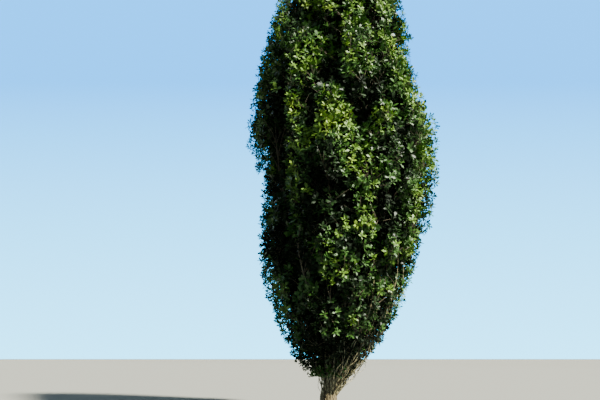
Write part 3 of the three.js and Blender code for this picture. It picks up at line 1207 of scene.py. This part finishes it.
class MeshGatherer:
    """Corners and faces of many small things, gathered for one mesh."""

    def __init__(self) -> None:
        """Starts with nothing gathered."""
        self.corners: list[Array] = []
        self.loops: list[Array] = []
        self.sizes: list[Array] = []
        self.tones: list[Array] = []
        self.count = 0

    def add(self, corners: Array, faces: list[tuple[int, ...]], tones: Array) -> None:
        """Adds copies of one shape.

        Args:
            corners: The corners, with one row of places for each copy.
            faces: The shape's faces, as numbers of its corners.
            tones: The material number of each copy.
        """
        copies, each = corners.shape[:2]
        pattern = np.array([corner for face in faces for corner in face])
        starts = self.count + each * np.arange(copies)
        self.corners.append(corners.reshape(-1, 3))
        self.loops.append((starts[:, None] + pattern).ravel())
        self.sizes.append(np.tile([len(face) for face in faces], copies))
        self.tones.append(np.repeat(tones, len(faces)))
        self.count += copies * each

    def add_tubes(self, lines: Array, radii: Array, sides: int) -> None:
        """Adds a tapering tube along each line.

        Args:
            lines: The points of each line, all lines having as many.
            radii: The radius at each point, for all the lines or for each.
            sides: The number of sides of a tube.
        """
        spread = np.broadcast_to(radii, lines.shape[:2])
        faces = tube_faces(lines.shape[1], sides)
        self.add(tube_corners(lines, spread, sides), faces, np.zeros(len(lines), int))

    def piece(self, name: str, materials: list[bpy.types.Material]) -> bpy.types.Object:
        """Makes the mesh and its object.

        Args:
            name: The piece's name.
            materials: The materials that the numbers stand for.

        Returns:
            The piece.
        """
        mesh = bpy.data.meshes.new(name)
        corners = np.concatenate(self.corners)
        loops = np.concatenate(self.loops)
        sizes = np.concatenate(self.sizes)
        mesh.vertices.add(len(corners))
        mesh.vertices.foreach_set("co", corners.astype(np.float32).ravel())
        mesh.loops.add(len(loops))
        mesh.loops.foreach_set("vertex_index", loops.astype(np.int32))
        mesh.polygons.add(len(sizes))
        mesh.polygons.foreach_set("loop_start", (np.cumsum(sizes) - sizes).astype(np.int32))
        mesh.polygons.foreach_set("material_index", np.concatenate(self.tones).astype(np.int32))
        for material in materials:
            mesh.materials.append(material)
        mesh.update(calc_edges=True)
        mesh.validate()
        piece = bpy.data.objects.new(name, mesh)
        bpy.context.collection.objects.link(piece)
        return piece


@dataclass(frozen=True)
class LeafShape:
    """A lobed leaf, and how the leaves of a spray are set.

    Each station is a place along the leaf, the half width there and how far its edges lift.
    """

    stations: tuple
    length: float
    leaves: int
    lengths: tuple = (0.72, 1.12)
    droop: float = 0.16
    spread: tuple = (0.55, 1.45)
    shoot: float = 0.07
    sag: float = 0.22
    turn_scatter: float = 0.25
    tilt_scatter: float = 0.18
    roll_scatter: float = 0.25

    def pattern(self) -> Array:
        """Sets out the leaf's corners.

        Returns:
            Their places along, across and above its length, as shares of that length.
        """
        rows = [(0.0, 0.0, 0.0)]
        for along, half, lift in self.stations:
            rows += [(along, side * half, lift - self.droop * along**2) for side in (-1, 1)]
        rows.append((1.0, 0.0, -self.droop))
        return np.array(rows)

    def edges(self) -> tuple[int, ...]:
        """Returns the numbers of the corners that stand furthest out: the tip and the widest two."""
        widest = max(range(len(self.stations)), key=lambda number: self.stations[number][1])
        return (2 * widest + 1, 2 * widest + 2, 2 * len(self.stations) + 1)

    def faces(self) -> list[tuple[int, ...]]:
        """Lists the leaf's faces.

        Returns:
            The faces, as numbers of its corners.
        """
        inner = [(2 * i - 1, 2 * i, 2 * i + 2, 2 * i + 1) for i in range(1, len(self.stations))]
        last = 2 * len(self.stations)
        return [(0, 2, 1), *inner, (last - 1, last, last + 1)]


SUN_LEAF = LeafShape(
    ((0.26, 0.155, 0.03), (0.4, 0.075, 0.0), (0.61, 0.235, 0.04), (0.8, 0.115, 0.015)),
    length=0.13,
    leaves=10,
)
SHADE_LEAF = LeafShape(((0.34, 0.16, 0.02), (0.72, 0.24, 0.03)), length=0.185, leaves=8)


@dataclass(frozen=True)
class ToneRule:
    """How light a spray's green is: its place, as painted light and shade, and its clump add up to a score,
    and limits part the tones.
    """

    # The outer, top and crown gains paint light and shade: outer and higher sprays get paler greens, inner
    # and lower ones darker.
    dimming: float = 0.85
    outer_painted_light_gain: float = 1.5
    mass_top_painted_light_gain: float = 0.35
    height_top: float = 1.4
    crown_height_painted_shade_gain: float = 2.2
    crown_top: float = 0.47
    clump_gain: float = 2.5
    clump_size: float = 0.45
    scatter: float = 0.25
    limits: tuple = (0.5, 1.1, 1.75, 2.5)


@dataclass
class Foliage:
    """The twigs and leaves of one mass: twigs branch from its stem by a seeded rule and end in sprays."""

    mass: Mass
    limbs: Limbs
    box: Array
    twig_bark: bpy.types.Material
    greens: list[bpy.types.Material]
    proud: float = 0.15
    tone_rule: ToneRule = ToneRule()
    look_headings: int = 160
    look_stretch: tuple = (1, 1, 1.6)
    look_slack: float = 0.1
    tries: float = 1050.0
    shell: float = 0.45
    shaded_depth: float = 0.65
    sunlit: float = 0.58
    inner_share: float = 0.42
    spacing: float = 0.152
    plume_size: tuple = (0.7, 0.7, 2.2)
    plume_shift: tuple = (0.9, 17.1, 5.0)
    cleft_depth: float = 0.8
    cleft_width: float = 0.15
    cleft_fade: float = 1.6
    lump_seed: int = 7
    lump_size: tuple = (0.34, 0.34, 0.5)
    lump_shift: float = 40.0
    lump_depth: float = 0.17
    tuft_size: float = 0.19
    tuft_shift: float = 70.0
    tuft_depth: float = 0.24
    branches: int = 40
    branch_steps: int = 6
    branch_rise: float = 1.2
    branch_bend: tuple = (0.42, 0.22)
    stem_marks: int = 60
    joints_a_branch: int = 22
    joint_span: tuple = (0.15, 0.97)
    twig_rise: float = 0.55
    twig_bend: tuple = (0.3, 0.3)
    steepness: float = 1.4
    crowding: float = 0.12
    twig_steps: int = 2
    stem_sides: int = 6
    twig_sides: int = 3
    stem_tip: float = 0.014
    branch_radius: tuple = (0.013, 0.005)
    twig_radius: tuple = (0.0048, 0.0022)
    shoot_out: float = 0.45
    shoot_up: float = 0.35
    shoot_scatter: float = 0.2
    margin: float = 0.012
    fork_azimuth: float = -1.0
    fork_bare_to: float = 2.1
    fork_hollow: float = 0.2
    fork_sweep: tuple = (0.8, 1.6)
    fork_fade: float = 0.7
    rng: np.random.Generator = field(init=False)
    lumps: Noise = field(init=False)

    def __post_init__(self) -> None:
        """Seeds the rule."""
        self.rng = np.random.default_rng(self.mass.seed())
        self.lumps = Noise(self.lump_seed)

    def depth(self, points: Array) -> Array:
        """Measures how deep points lie under the crown's surface, which clefts part into upright plumes.

        Args:
            points: The points.

        Returns:
            The depth of each point, negative outside the surface.
        """
        plume = self.lumps.at(points / self.plume_size + self.plume_shift)
        cleft = 1.0 - smoothstep(np.abs(plume - NOISE_MIDDLE), 0.0, self.cleft_width)
        lump = self.lumps.at(points / self.lump_size + self.lump_shift)
        tuft = self.lumps.at(points / self.tuft_size + self.tuft_shift)
        hollow = self.cleft_depth * cleft + self.lump_depth * lump + self.tuft_depth * tuft
        hollow *= (OUTLINE.half_width(points[:, 2]) / OUTLINE.half_spread) ** self.cleft_fade
        room = self.mass.room(points, TWIG_LIMITS) + TWIG_LIMITS.overhang
        return room - hollow - self.fork_hollow * self.before_fork(points)

    def tips(self) -> Array:
        """Chooses where twigs end: spread evenly through the outer shell, and thinly inside it.

        Returns:
            The places.
        """
        headings = unit(self.rng.normal(size=(self.look_headings, 3)) * self.look_stretch)
        reaches = np.array([self.mass.reach_from(self.mass.centre, heading) for heading in headings])
        edge = self.mass.centre + headings * reaches[:, None]
        low, high = edge.min(axis=0) - self.look_slack, edge.max(axis=0) + self.look_slack
        count = int(self.tries * np.prod(high - low))
        points = self.rng.uniform(low, high, (count, 3))
        points = points[self.mass.owns(points, TWIG_LIMITS)]
        depth = self.depth(points)
        outer = np.exp(-((depth / self.shell) ** 2))
        chance = np.where(depth > 0, np.maximum(outer, self.inner_share), 0.0)
        points = points[self.rng.random(len(points)) < chance]
        points = points[self.limbs.clear(points, self.margin)]
        return self.thin_out(points, self.spacing)

    def before_fork(self, points: Array) -> Array:
        """Tells how nearly points are in front of the fork, where bare stems stand out of the leaves.

        Args:
            points: The points.

        Returns:
            The share of each point, from 0 to 1.
        """
        swing = np.arctan2(points[:, 1], points[:, 0]) - self.fork_azimuth
        beside = smoothstep(np.abs(swing), *self.fork_sweep)
        above = smoothstep(points[:, 2], self.fork_bare_to - self.fork_fade, self.fork_bare_to)
        return (1.0 - beside) * (1.0 - above)

    @staticmethod
    def thin_out(points: Array, spacing: float) -> Array:
        """Drops every point that lies nearer than the spacing to one before it.

        Args:
            points: The points.
            spacing: The least distance between two of them.

        Returns:
            The points that are left.
        """
        cells: dict[tuple[int, int, int], list[int]] = {}
        kept: list[int] = []
        for number, place in enumerate(np.floor(points / spacing).astype(int)):
            around = (place + NEXT_CELLS).tolist()
            near = [other for cell in around for other in cells.get(tuple(cell), ())]
            if near and np.min(np.sum((points[near] - points[number]) ** 2, axis=1)) < spacing**2:
                continue
            cells.setdefault(tuple(place.tolist()), []).append(number)
            kept.append(number)
        return points[kept]

    def spread_out(self, points: Array, count: int) -> Array:
        """Chooses points that lie far from each other, from the highest one on.

        Args:
            points: The points.
            count: How many are chosen.

        Returns:
            True for each chosen point.
        """
        chosen = np.zeros(len(points), bool)
        gaps = np.full(len(points), np.inf)
        number = int(np.argmax(points[:, 2]))
        for _ in range(min(count, len(points))):
            chosen[number] = True
            gaps = np.minimum(gaps, np.linalg.norm(points - points[number], axis=1))
            number = int(np.argmax(gaps))
        return chosen

    def grow_branches(self, ends: Array) -> Array:
        """Grows the branches, which leave the stem well below their ends and rise steeply.

        Args:
            ends: Where they end.

        Returns:
            Their lines.
        """
        stem = self.mass.stem
        marks = np.linspace(0, len(stem) - 1, self.stem_marks)
        fine = np.column_stack([np.interp(marks, np.arange(len(stem)), part) for part in stem.T])
        gaps = np.linalg.norm((ends[:, None] - fine)[:, :, :2], axis=2)
        wanted = ends[:, None, 2] - self.branch_rise * gaps
        root = fine[np.argmin(np.abs(fine[None, :, 2] - wanted), axis=1)]
        run = np.linalg.norm(ends - root, axis=1, keepdims=True)
        upward, endward = self.branch_bend
        bend = root + UP * run * upward + (ends - root) * endward
        return bezier([root, bend, ends], self.branch_steps)

    def grow_twigs(self, ends: Array, branches: Array) -> Array:
        """Grows the twigs, each from the joint that is near, low and least crowded.

        Args:
            ends: Where they end.
            branches: The lines of the branches.

        Returns:
            Their lines.
        """
        joints, headings = self.joints(branches)
        used = np.zeros(len(joints))
        roots = np.empty(len(ends), int)
        for number, end in enumerate(ends):
            gaps = end - joints
            length = np.linalg.norm(gaps, axis=1)
            flatness = np.maximum(0.0, self.twig_rise * length - gaps[:, 2])
            roots[number] = np.argmin(length + self.steepness * flatness + self.crowding * used)
            used[roots[number]] += 1
        root = joints[roots]
        run = np.linalg.norm(ends - root, axis=1, keepdims=True)
        onward, endward = self.twig_bend
        bend = root + headings[roots] * run * onward + (ends - root) * endward
        return bezier([root, bend, ends], self.twig_steps)

    def joints(self, branches: Array) -> tuple[Array, Array]:
        """Sets out the places along the branches where twigs can leave them.

        Args:
            branches: The lines of the branches.

        Returns:
            The places, and the branches' directions there.
        """
        shares = np.linspace(*self.joint_span, self.joints_a_branch) * self.branch_steps
        step = np.minimum(shares.astype(int), self.branch_steps - 1)
        part = (shares - step)[None, :, None]
        places = lerp(branches[:, step], branches[:, step + 1], part)
        headings = unit(branches[:, step + 1] - branches[:, step])
        return places.reshape(-1, 3), headings.reshape(-1, 3)

    def sound(self, lines: Array) -> Array:
        """Tests whether lines stay in the mass's space and clear of the limbs, but for their roots.

        Args:
            lines: The lines.

        Returns:
            True for each line that does.
        """
        places = lines[:, 1:].reshape(-1, 3)
        good = self.mass.owns(places, TWIG_LIMITS) & self.limbs.clear(places, 0.0)
        return good.reshape(len(lines), -1).all(axis=1)

    def openness(self, sprays: Array) -> Array:
        """Returns how near each spray is to the crown's outline, from 0 well inside to 1 on it."""
        return np.clip(1.0 - self.mass.room(sprays) / self.shaded_depth, 0.0, 1.0)

    def deal_tones(self, sprays: Array) -> Array:
        """Deals out the greens: darker as painted shade deep inside and low down, paler as painted sunlight
        outside and higher, and young in the lightest clumps.

        Args:
            sprays: Where the sprays are.

        Returns:
            The number of each spray's tone.
        """
        rule = self.tone_rule
        foot, top = self.mass.stem[0, 2], self.mass.stem[-1, 2]
        height = np.clip((sprays[:, 2] - foot) / (top - foot), 0, rule.height_top)
        crown_share = np.minimum(sprays[:, 2] / OUTLINE.tree_height, rule.crown_top)
        clump = self.lumps.at(sprays / rule.clump_size) - NOISE_MIDDLE
        # Painted light and shade: the openness and both heights make outer and higher sprays paler and inner
        # and lower ones darker.
        score = self.openness(sprays) * rule.outer_painted_light_gain + rule.mass_top_painted_light_gain * height
        score += rule.crown_height_painted_shade_gain * crown_share - rule.dimming
        score += rule.clump_gain * clump + self.rng.normal(0, rule.scatter, len(sprays))
        return np.digitize(score, rule.limits)

    def grow_leaves(
        self, leaf: LeafShape, sprays: Array, axes: Array, tones: Array, leaves: MeshGatherer
    ) -> None:
        """Sets the leaves of every spray round its shoot, and leaves out those that don't fit.

        Args:
            leaf: Their shape.
            sprays: Where the shoots end.
            axes: The directions in which they end.
            tones: The tone of each spray.
            leaves: What the leaves are added to.
        """
        count = len(sprays)
        low, high = self.box[0] - self.proud, self.box[1] + self.proud
        aside = unit(np.cross(axes, ASIDE))
        other = np.cross(axes, aside)
        turn = self.rng.uniform(0, 2 * math.pi, count)
        pattern = leaf.pattern()
        for number in range(leaf.leaves):
            share = number / (leaf.leaves - 1)
            angle = turn + number * GOLDEN_ANGLE + self.rng.normal(0, leaf.turn_scatter, count)
            tilt = lerp(*leaf.spread, share) + self.rng.normal(0, leaf.tilt_scatter, count)
            radial = np.cos(angle)[:, None] * aside + np.sin(angle)[:, None] * other
            heading = np.cos(tilt)[:, None] * axes + np.sin(tilt)[:, None] * radial
            heading = unit(heading - UP * leaf.sag * share)
            side = unit(np.cross(heading, axes) + self.rng.normal(0, leaf.roll_scatter, (count, 3)))
            side = unit(side - heading * np.sum(side * heading, axis=1, keepdims=True))
            lift = np.cross(side, heading)
            size = leaf.length * self.rng.uniform(*leaf.lengths, count)
            root = sprays - axes * (leaf.shoot * share)
            frame = np.stack([heading, side, lift], axis=1) * size[:, None, None]
            corners = root[:, None] + pattern @ frame
            fits = self.limbs.clear(corners[:, -1], 0.0)
            fits &= ((corners >= low) & (corners <= high)).all(axis=(1, 2))
            for corner in leaf.edges():
                fits &= self.mass.owns(corners[:, corner], LEAF_LIMITS)
            leaves.add(corners[fits], leaf.faces(), tones[fits])

    def build(self) -> None:
        """Grows the mass's twigs and its leaves."""
        tips = self.tips()
        ends = self.spread_out(tips, self.branches)
        branches = self.grow_branches(tips[ends])
        twigs = self.grow_twigs(tips[~ends], branches)
        twigs = twigs[self.sound(twigs)]
        wood = MeshGatherer()
        foot = TRUNK.leader_tip_radius if self.mass.tops_leader else self.mass.tier.root * BOUGH_TAPER
        taper = np.linspace(foot, self.stem_tip, STEM_STEPS + 1)
        wood.add_tubes(self.mass.stem[None], taper, self.stem_sides)
        taper = np.linspace(*self.branch_radius, self.branch_steps + 1)
        wood.add_tubes(branches, taper, self.twig_sides)
        wood.add_tubes(twigs, np.linspace(*self.twig_radius, self.twig_steps + 1), self.twig_sides)
        sprays = np.vstack([branches[:, -1], twigs[:, -1]])
        last = np.vstack([branches[:, -1] - branches[:, -2], twigs[:, -1] - twigs[:, -2]])
        out = sprays - OUTLINE.middle(self.mass.tier.shift, sprays[:, 2])
        scatter = self.rng.normal(0, self.shoot_scatter, sprays.shape)
        axes = unit(unit(last) + self.shoot_out * unit(out) + self.shoot_up * UP + scatter)
        tones = self.deal_tones(sprays)
        sunlit = self.openness(sprays) > self.sunlit
        green = MeshGatherer()
        for leaf, grown in ((SUN_LEAF, sunlit), (SHADE_LEAF, ~sunlit)):
            self.grow_leaves(leaf, sprays[grown], axes[grown], tones[grown], green)
        settle(wood.piece(f"{self.mass.name}_twigs", [self.twig_bark]), Slot.BARK)
        foliage = green.piece(f"{self.mass.name}_leaves", self.greens)
        settle(foliage, Slot.FOLIAGE, f"{self.mass.name}_mass")
        LOG.info("%s: %d sprays", self.mass.name, len(sprays))


@dataclass
class ForkShoots:
    """Slender bare stems that fan out from the fork, outside the boughs."""

    bark: bpy.types.Material
    count: int = 210
    seed: int = 83
    steps: int = 18
    sides: int = 5
    leave: tuple = (0.44, 0.95)
    top: tuple = (1.5, 4.4)
    reach: tuple = (0.15, 0.84)
    radii: tuple = (0.012, 0.004)
    stoutness: tuple = (0.45, 1.35)
    facing: float = -0.4
    facing_spread: float = 0.55
    facing_share: float = 0.66
    rear_share: float = 0.4
    sunk: float = 0.7
    first_out: float = 0.5
    first_rise: float = 0.26
    last_rise: float = 0.42
    swing: float = 0.06
    waves: tuple = (0.9, 2.7)

    def build(self) -> None:
        """Models the shoots."""
        rng = np.random.default_rng(self.seed)
        azimuth = rng.uniform(0, 2 * math.pi, self.count)
        near = rng.random(self.count) < self.facing_share
        azimuth = np.where(near, self.facing + rng.normal(0, self.facing_spread, self.count), azimuth)
        low = rng.uniform(*self.leave, self.count)
        high = rng.uniform(*self.top, self.count)
        out = np.stack([np.cos(azimuth), np.sin(azimuth), np.zeros(self.count)], axis=1)
        foot = TRUNK.centre(low) + out * (TRUNK.radius(low) * self.sunk)[:, None]
        turned = lerp(self.rear_share, 1.0, (1.0 + np.cos(azimuth - self.facing)) / 2)
        far = OUTLINE.half_width(high) * rng.uniform(*self.reach, self.count) * turned
        end = OUTLINE.middle(TIERS[0].shift, high) + out * far[:, None]
        run = np.linalg.norm(end - foot, axis=1, keepdims=True)
        first = foot + out * far[:, None] * self.first_out + UP * run * self.first_rise
        second = end - UP * run * self.last_rise
        lines = bezier([foot, first, second, end], self.steps)
        share = np.linspace(0.0, 1.0, self.steps + 1)[:, None]
        phase = rng.uniform(0, 2 * math.pi, (self.count, 1, 3))
        turns = 2 * math.pi * rng.uniform(*self.waves, (self.count, 1, 3))
        lines += self.swing * np.sin(math.pi * share) * np.sin(phase + turns * share)
        thick = rng.uniform(*self.stoutness, self.count)[:, None] * np.linspace(*self.radii, self.steps + 1)
        wood = MeshGatherer()
        wood.add_tubes(lines, thick, self.sides)
        settle(wood.piece("fork_shoots", [self.bark]), Slot.BARK)


@dataclass
class Studio:
    """A pale floor and sky, sun from the right, and the camera at the photo's viewing angle."""

    floor_size: float = 400.0
    backdrop_size: tuple = (160.0, 100.0)
    backdrop_distance: float = 110.0
    floor_colour: tuple = (0.27, 0.28, 0.24)
    sky_colour: tuple = (0.62, 0.80, 1.0)
    sky_strength: float = 0.28
    sun_from: tuple = (0.76, -0.57, 0.94)
    sun_energy: float = 16.8
    fill_from: tuple = (-0.8, 0.5, 0.6)
    fill_energy: float = 0.6
    sun_angle: float = math.radians(5.0)
    sun_colour: tuple = (1.0, 0.95, 0.86)
    eye: tuple = (-0.708, -15.27, 1.6)
    pitch: float = math.radians(14.52)
    lens: float = 35.0
    sensor_width: float = 36.0
    view_end: float = 500.0

    def build(self) -> None:
        """Adds the floor, the lights and the camera."""
        deselect_all()
        bpy.ops.mesh.primitive_plane_add(size=self.floor_size)
        floor = bpy.context.object
        floor.name = "floor"
        floor.visible_diffuse = False
        floor.data.materials.append(PlainFinish("pale_floor", self.floor_colour).make())
        floor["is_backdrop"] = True
        self.hang_backdrop()
        world = bpy.data.worlds.new("sky")
        world.use_nodes = True
        background = world.node_tree.nodes["Background"]
        background.inputs["Color"].default_value = (*self.sky_colour, 1.0)
        background.inputs["Strength"].default_value = self.sky_strength
        bpy.context.scene.world = world
        self.hang_sun("key_light", self.sun_from, self.sun_energy, self.sun_colour)
        self.hang_sun("fill_light", self.fill_from, self.fill_energy, self.sky_colour)
        self.place_camera()

    def hang_sun(self, name: str, source: tuple, energy: float, colour: tuple) -> None:
        """Adds a distant light.

        Args:
            name: Its name.
            source: The direction that it comes from.
            energy: Its strength.
            colour: Its colour.
        """
        sun = bpy.data.lights.new(name, "SUN")
        sun.energy = energy
        sun.angle = self.sun_angle
        sun.color = colour
        holder = bpy.data.objects.new(name, sun)
        holder.rotation_euler = Vector(source).to_track_quat("Z", "Y").to_euler()
        bpy.context.collection.objects.link(holder)

    def hang_backdrop(self) -> None:
        """Adds the wall of pale sky behind the tree."""
        width, height = self.backdrop_size
        bpy.ops.mesh.primitive_plane_add(size=1.0, rotation=(math.pi / 2, 0.0, 0.0))
        backdrop = bpy.context.object
        backdrop.name = "backdrop"
        backdrop.scale = (width, height, 1.0)
        backdrop.location = (0.0, self.backdrop_distance, height / 2)
        bpy.ops.object.transform_apply(location=True, rotation=True, scale=True)
        backdrop.data.materials.append(SkyFinish("pale_sky", height).make())
        backdrop.visible_diffuse = False
        backdrop.visible_glossy = False
        backdrop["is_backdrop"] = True

    def place_camera(self) -> None:
        """Adds the camera at eye height, tilted up at the crown."""
        camera = bpy.data.cameras.new("camera")
        camera.lens = self.lens
        camera.sensor_width = self.sensor_width
        camera.clip_end = self.view_end
        holder = bpy.data.objects.new("camera", camera)
        holder.location = self.eye
        holder.rotation_euler = (math.pi / 2 + self.pitch, 0.0, 0.0)
        bpy.context.collection.objects.link(holder)
        bpy.context.scene.camera = holder


def main() -> None:
    """Builds the tree round its frame and reports each piece."""
    logging.basicConfig(level=logging.INFO, format="%(message)s")
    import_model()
    solid_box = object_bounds()
    Studio().build()
    bark = BarkFinish("bark").make()
    twig_bark = TwigFinish("twig_bark").make()
    greens = [LEAF_FINISHES[tone].make() for tone in Tone]
    crown = Crown()
    Trunk(bark).build()
    ForkShoots(SHOOT_FINISH.make()).build()
    for mass in crown.masses:
        if not mass.tops_leader:
            Bough(mass, bark).build()
        Foliage(mass, crown.limbs, np.array(solid_box), twig_bark, greens).build()


if __name__ == "__main__":
    main()
